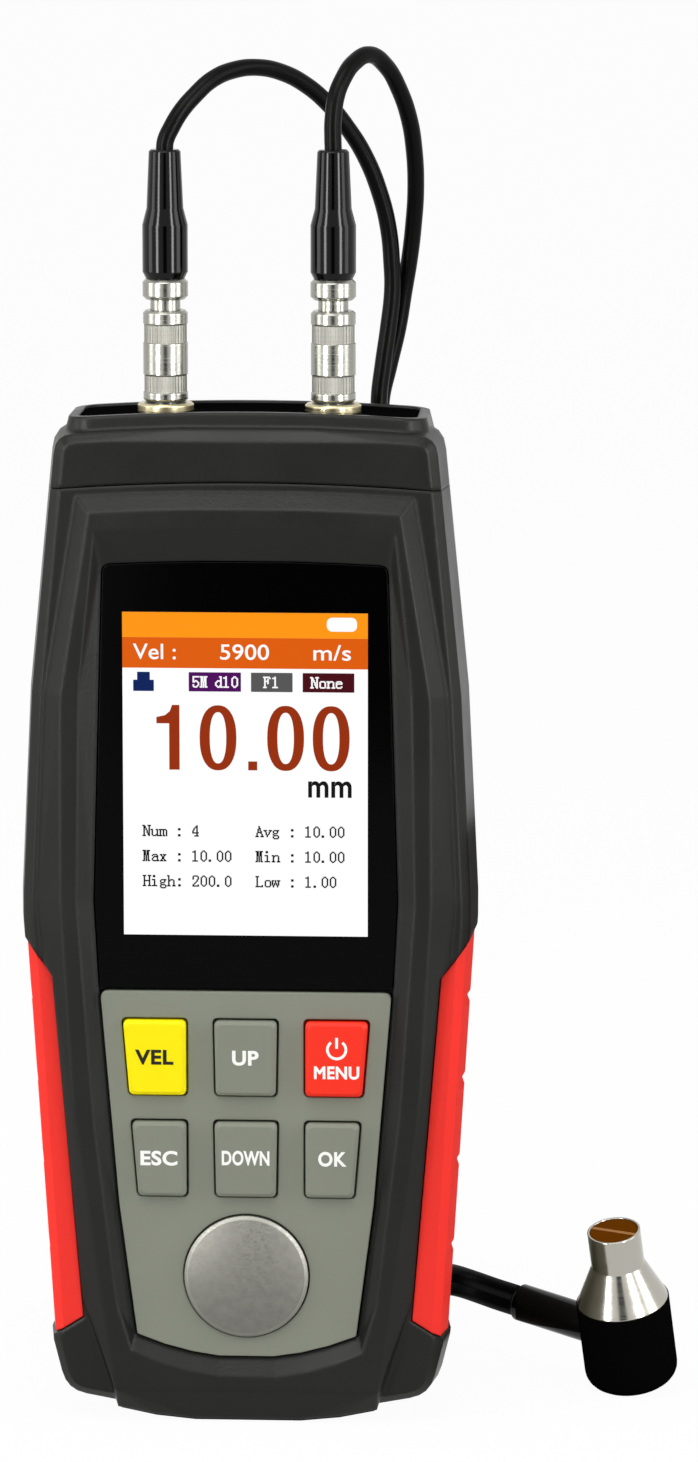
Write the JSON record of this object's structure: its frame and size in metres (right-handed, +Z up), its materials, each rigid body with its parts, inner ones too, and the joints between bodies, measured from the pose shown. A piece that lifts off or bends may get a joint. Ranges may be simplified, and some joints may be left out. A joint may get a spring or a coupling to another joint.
{
  "type": "ultrasonic thickness gauge",
  "caption": "Hand-held thickness gauge with colour display, rubber keys, steel test disc, red side grips and a two-element probe on a plugged twin lead.",
  "frame": {"origin": "middle of the flat land on the housing's lower end, on the floor", "axes": "+Z up along the housing, -Y out of the display, +X to the right seen from the front"},
  "size_m": [0.0998, 0.0863, 0.2072],
  "materials": {
    "housing": "fine matt moulded plastic",
    "black_plastic": "black moulded plastic",
    "red_rubber": "red soft rubber",
    "window_gloss": "black glossy lens",
    "display_face": "lit colour display",
    "grey_rubber": "grey silicone rubber",
    "key_yellow": "yellow rubber key",
    "key_grey": "grey rubber key",
    "key_red": "red rubber key",
    "film": "clear film with domes",
    "board_green": "solder mask",
    "test_steel": "ground steel, slightly stained",
    "cell_wrap": "plain cell sleeve",
    "contact_brass": "sprung brass strip",
    "screw_steel": "plated steel",
    "plug_chrome": "bright plated brass",
    "gold_ring": "gold-plated brass",
    "boot_black": "glossy shrunk sleeve",
    "lead_black": "black cable jacket",
    "face_brown": "amber-brown wear face",
    "barrier_tan": "cork-coloured barrier"
  },
  "bodies": {
    "gauge": {"front_shell": "housing", "rear_shell": "housing", "top_cap": "housing", "connector_plate": "black_plastic", "left_grip": "red_rubber", "right_grip": "red_rubber", "display_window": "window_gloss", "display_module": "display_face", "keypad_panel": "grey_rubber", "dome_sheet": "film", "main_board": "board_green", "test_disc": "test_steel", "battery_1": "cell_wrap", "battery_2": "cell_wrap", "battery_3": "cell_wrap", "battery_4": "cell_wrap", "battery_contacts": "contact_brass", "case_screws": "screw_steel", "board_screws": "screw_steel", "left_socket": "plug_chrome", "right_socket": "plug_chrome", "left_socket_nut": "gold_ring", "right_socket_nut": "gold_ring", "left_plug_core": "plug_chrome", "right_plug_core": "plug_chrome", "left_plug_nut": "plug_chrome", "right_plug_nut": "plug_chrome", "left_boot": "boot_black", "right_boot": "boot_black", "left_lead": "lead_black", "right_lead": "lead_black", "twin_lead": "lead_black", "lead_coil": "lead_black", "twin_tail": "lead_black", "probe_boot": "boot_black", "probe_body": "black_plastic", "probe_shell": "plug_chrome", "probe_faces": "face_brown", "probe_barrier": "barrier_tan"},
    "key_velocity": {"key_velocity": "key_yellow"},
    "key_up": {"key_up": "key_grey"},
    "key_menu": {"key_menu": "key_red"},
    "key_escape": {"key_escape": "key_grey"},
    "key_down": {"key_down": "key_grey"},
    "key_ok": {"key_ok": "key_grey"},
    "left_sleeve": {"left_plug_sleeve": "plug_chrome"},
    "right_sleeve": {"right_plug_sleeve": "plug_chrome"},
    "door": {"battery_door": "housing"}
  },
  "joints": [
    {"name": "velocity_press", "type": "slide", "parent": "gauge", "child": "key_velocity", "axis": [0, 1, 0], "range_m": [0, 0.001], "stiffness_N_per_m": 400},
    {"name": "up_press", "type": "slide", "parent": "gauge", "child": "key_up", "axis": [0, 1, 0], "range_m": [0, 0.001], "stiffness_N_per_m": 400},
    {"name": "menu_press", "type": "slide", "parent": "gauge", "child": "key_menu", "axis": [0, 1, 0], "range_m": [0, 0.001], "stiffness_N_per_m": 400},
    {"name": "escape_press", "type": "slide", "parent": "gauge", "child": "key_escape", "axis": [0, 1, 0], "range_m": [0, 0.001], "stiffness_N_per_m": 400},
    {"name": "down_press", "type": "slide", "parent": "gauge", "child": "key_down", "axis": [0, 1, 0], "range_m": [0, 0.001], "stiffness_N_per_m": 400},
    {"name": "ok_press", "type": "slide", "parent": "gauge", "child": "key_ok", "axis": [0, 1, 0], "range_m": [0, 0.001], "stiffness_N_per_m": 400},
    {"name": "left_sleeve_pull", "type": "slide", "parent": "gauge", "child": "left_sleeve", "axis": [0, 0, 1], "range_m": [0, 0.0012], "stiffness_N_per_m": 600},
    {"name": "right_sleeve_pull", "type": "slide", "parent": "gauge", "child": "right_sleeve", "axis": [0, 0, 1], "range_m": [0, 0.0012], "stiffness_N_per_m": 600},
    {"name": "door_lift", "type": "slide", "parent": "gauge", "child": "door", "axis": [0, 1, 0], "range_m": [0, 0.008]}
  ]
}
